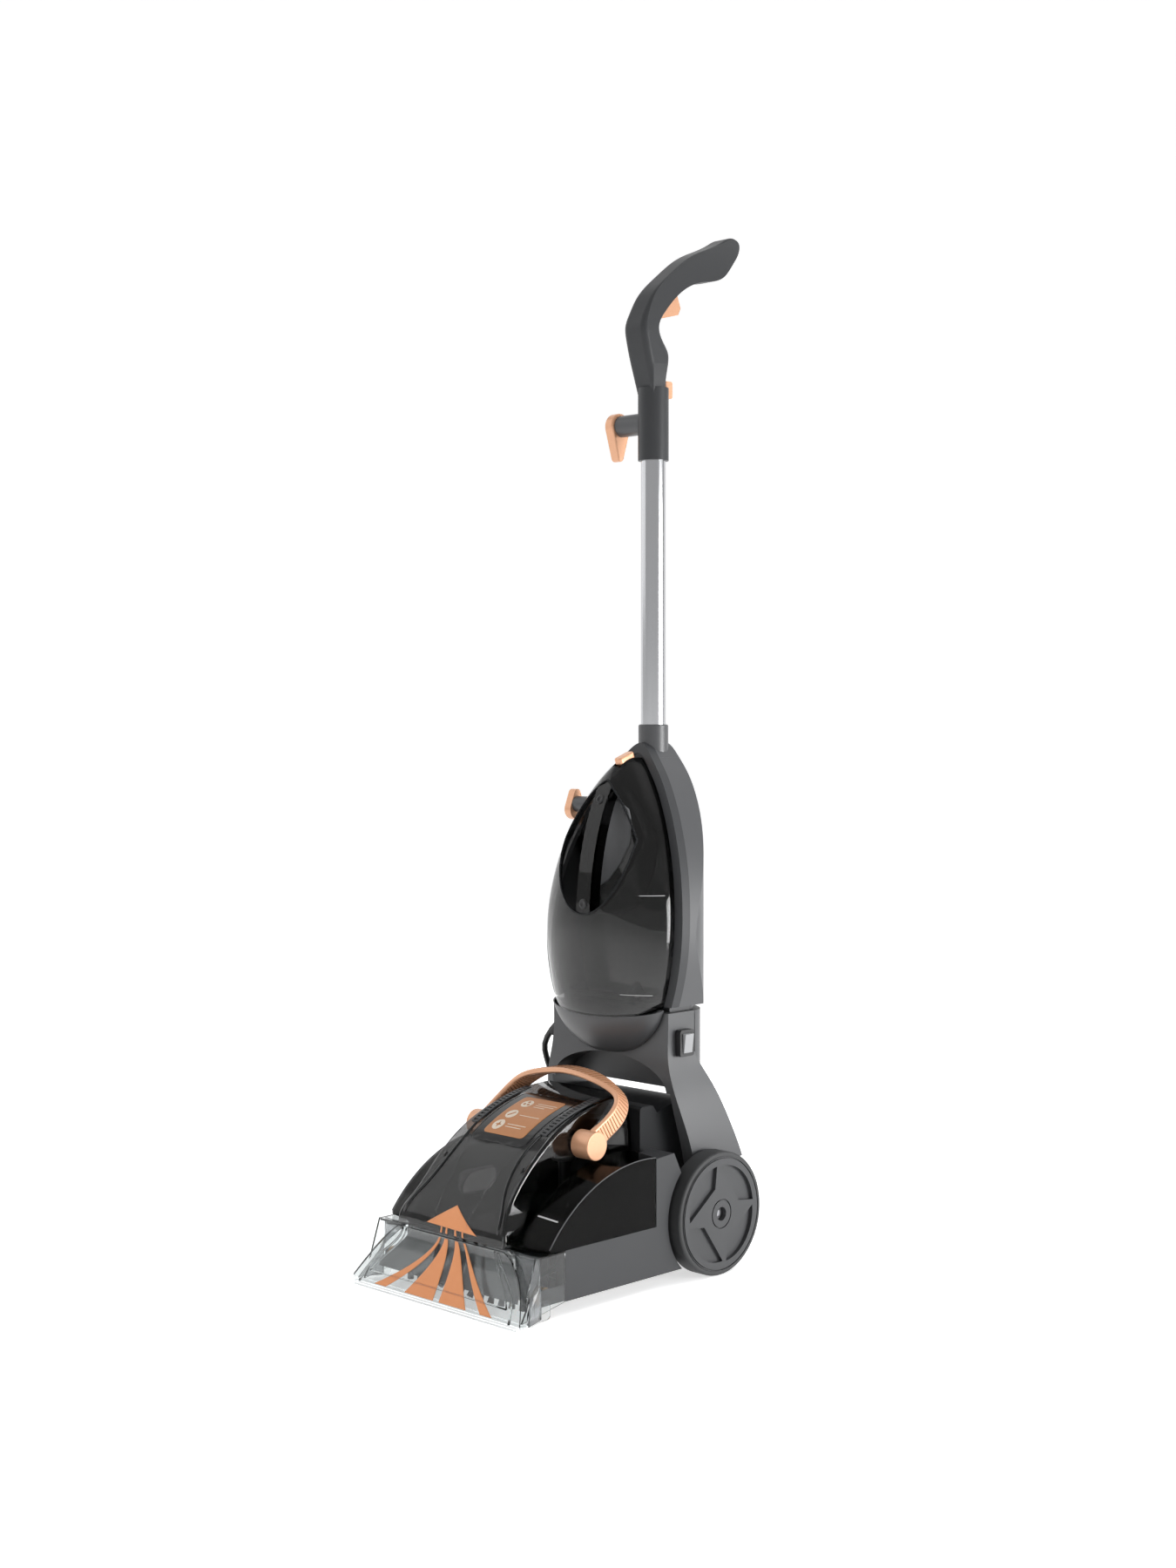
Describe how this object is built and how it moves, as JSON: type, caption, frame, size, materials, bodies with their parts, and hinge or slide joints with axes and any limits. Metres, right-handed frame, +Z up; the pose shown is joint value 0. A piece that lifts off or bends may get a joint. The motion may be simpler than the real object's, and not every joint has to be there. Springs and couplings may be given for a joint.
{
  "type": "upright carpet washer",
  "caption": "Upright carpet washing machine: wheeled base with brush roll, clear nozzle and lift-off dirty-water tank, reclining body with clean-water tank, tube, trigger handle.",
  "frame": {"origin": "on the floor, under the middle of the machine's bounding box without its cord", "axes": "+Z up, -Y to the machine's front where the nozzle is, +X to its left as it faces the viewer"},
  "size_m": [0.2634, 0.5033, 1.1315],
  "materials": {
    "grey_moulding": "fine satin moulding",
    "smoked_tank": "smoked clear, polished",
    "clear_nozzle": "clear, polished",
    "rose_gold": "metallic satin paint",
    "black_moulding": "satin",
    "pale_moulding": "satin",
    "rubber": "matt",
    "cord_sheath": "satin",
    "nylon_bristle": "satin",
    "chrome_tube": "polished",
    "steel": "turned",
    "brass": "turned"
  },
  "bodies": {
    "base": {"base_chassis": "grey_moulding", "base_plate": "grey_moulding", "base_tower": "grey_moulding", "suction_nozzle": "clear_nozzle", "brush_bearings": "brass", "brush_motor": "steel", "drive_belt": "rubber", "rear_axle": "steel", "axle_clips": "steel", "suction_motor": "steel", "cord_coil": "cord_sheath", "cord_tie": "cord_sheath", "mains_plug": "black_moulding", "mains_cord": "cord_sheath"},
    "upright": {"lower_body": "grey_moulding", "rear_cover": "grey_moulding", "tank_bowl": "grey_moulding", "front_frame": "grey_moulding", "rear_shell": "grey_moulding", "neck_collar": "grey_moulding", "handle_tube": "chrome_tube", "handle_shell_left": "grey_moulding", "handle_shell_right": "grey_moulding", "trigger_pin": "steel", "hook_post": "grey_moulding", "lower_post": "grey_moulding", "lower_hook": "rose_gold", "cable_clip": "rose_gold", "switch_bezel": "black_moulding", "outlet_cup": "black_moulding", "solution_valve": "black_moulding", "strain_relief": "rubber"},
    "left_wheel": {"wheel_left": "grey_moulding", "tyre_left": "rubber"},
    "right_wheel": {"wheel_right": "grey_moulding", "tyre_right": "rubber"},
    "brush": {"brush_roll": "black_moulding", "brush_bristles": "nylon_bristle"},
    "pulley": {"motor_pulley": "brass"},
    "fan": {"suction_fan": "black_moulding"},
    "dirty_tank": {"recovery_tank": "smoked_tank", "tank_hood": "smoked_tank", "port_seal": "rubber", "hood_vents": "black_moulding", "float_guide": "black_moulding", "carry_pins": "steel"},
    "float": {"tank_float": "pale_moulding"},
    "carry": {"carry_handle": "rose_gold", "carry_caps": "rose_gold"},
    "water_tank": {"clean_tank": "smoked_tank", "tank_grip": "black_moulding"},
    "valve": {"tank_valve": "rubber"},
    "latch": {"tank_latch": "rose_gold"},
    "rocker": {"switch_rocker": "pale_moulding"},
    "trigger_lever": {"trigger": "rose_gold"},
    "rod": {"push_rod": "steel"},
    "cord_hook": {"upper_hook": "rose_gold"}
  },
  "joints": [
    {"name": "recline", "type": "hinge", "parent": "base", "child": "upright", "pos_m": [0, 0.0628, 0.0645], "axis": [-1, 0, 0], "range_deg": [0, 55], "deforming": ["mains_cord"]},
    {"name": "left_wheel_roll", "type": "hinge", "parent": "base", "child": "left_wheel", "pos_m": [-0.118, 0.0628, 0.0645], "axis": [1, 0, 0], "continuous": true},
    {"name": "right_wheel_roll", "type": "hinge", "parent": "base", "child": "right_wheel", "pos_m": [0.118, 0.0628, 0.0645], "axis": [1, 0, 0], "continuous": true},
    {"name": "brush_spin", "type": "hinge", "parent": "base", "child": "brush", "pos_m": [0, -0.18, 0.0225], "axis": [1, 0, 0], "continuous": true},
    {"name": "pulley_spin", "type": "hinge", "parent": "base", "child": "pulley", "pos_m": [0.097, -0.115, 0.04], "axis": [1, 0, 0], "continuous": true},
    {"name": "fan_spin", "type": "hinge", "parent": "base", "child": "fan", "pos_m": [0, 0.056, 0.14], "axis": [0, 0, 1], "continuous": true},
    {"name": "dirty_tank_lift", "type": "slide", "parent": "base", "child": "dirty_tank", "axis": [0, -0.6, 0.8], "range_m": [0, 0.12]},
    {"name": "float_rise", "type": "slide", "parent": "dirty_tank", "child": "float", "axis": [0, 0, 1], "range_m": [0, 0.014]},
    {"name": "carry_swing", "type": "hinge", "parent": "dirty_tank", "child": "carry", "pos_m": [0, -0.084, 0.151], "axis": [1, 0, 0], "range_deg": [0, 75]},
    {"name": "water_tank_tilt", "type": "hinge", "parent": "upright", "child": "water_tank", "pos_m": [0, -0.003, 0.2675], "axis": [1, 0, 0], "range_deg": [0, 16]},
    {"name": "valve_rise", "type": "slide", "parent": "water_tank", "child": "valve", "axis": [0, 0, 1], "range_m": [0, 0.003], "stiffness_N_per_m": 60, "springref_m": -0.006},
    {"name": "latch_press", "type": "slide", "parent": "water_tank", "child": "latch", "axis": [0, -0.9397, -0.342], "range_m": [0, 0.0036], "stiffness_N_per_m": 200, "springref_m": -0.006},
    {"name": "rocker_tip", "type": "hinge", "parent": "upright", "child": "rocker", "pos_m": [0.0933, 0.05, 0.241], "axis": [0, -1, 0], "range_deg": [0, 14]},
    {"name": "trigger_pull", "type": "hinge", "parent": "upright", "child": "trigger_lever", "pos_m": [0, 0.104, 1.044], "axis": [1, 0, 0], "range_deg": [0, 12]},
    {"name": "rod_push", "type": "slide", "parent": "upright", "child": "rod", "axis": [0, 0, -1], "range_m": [0, 0.0047], "stiffness_N_per_m": 300, "springref_m": -0.004},
    {"name": "hook_swivel", "type": "hinge", "parent": "upright", "child": "cord_hook", "pos_m": [-0.05, 0.097, 0.91], "axis": [1, 0, 0], "range_deg": [0, 180]}
  ],
  "couplings": [
    {"joint": "pulley_spin", "follows": "brush_spin", "ratio": 1.3333},
    {"joint": "trigger_pull", "follows": "rod_push", "rad_per_m": 44.444}
  ]
}
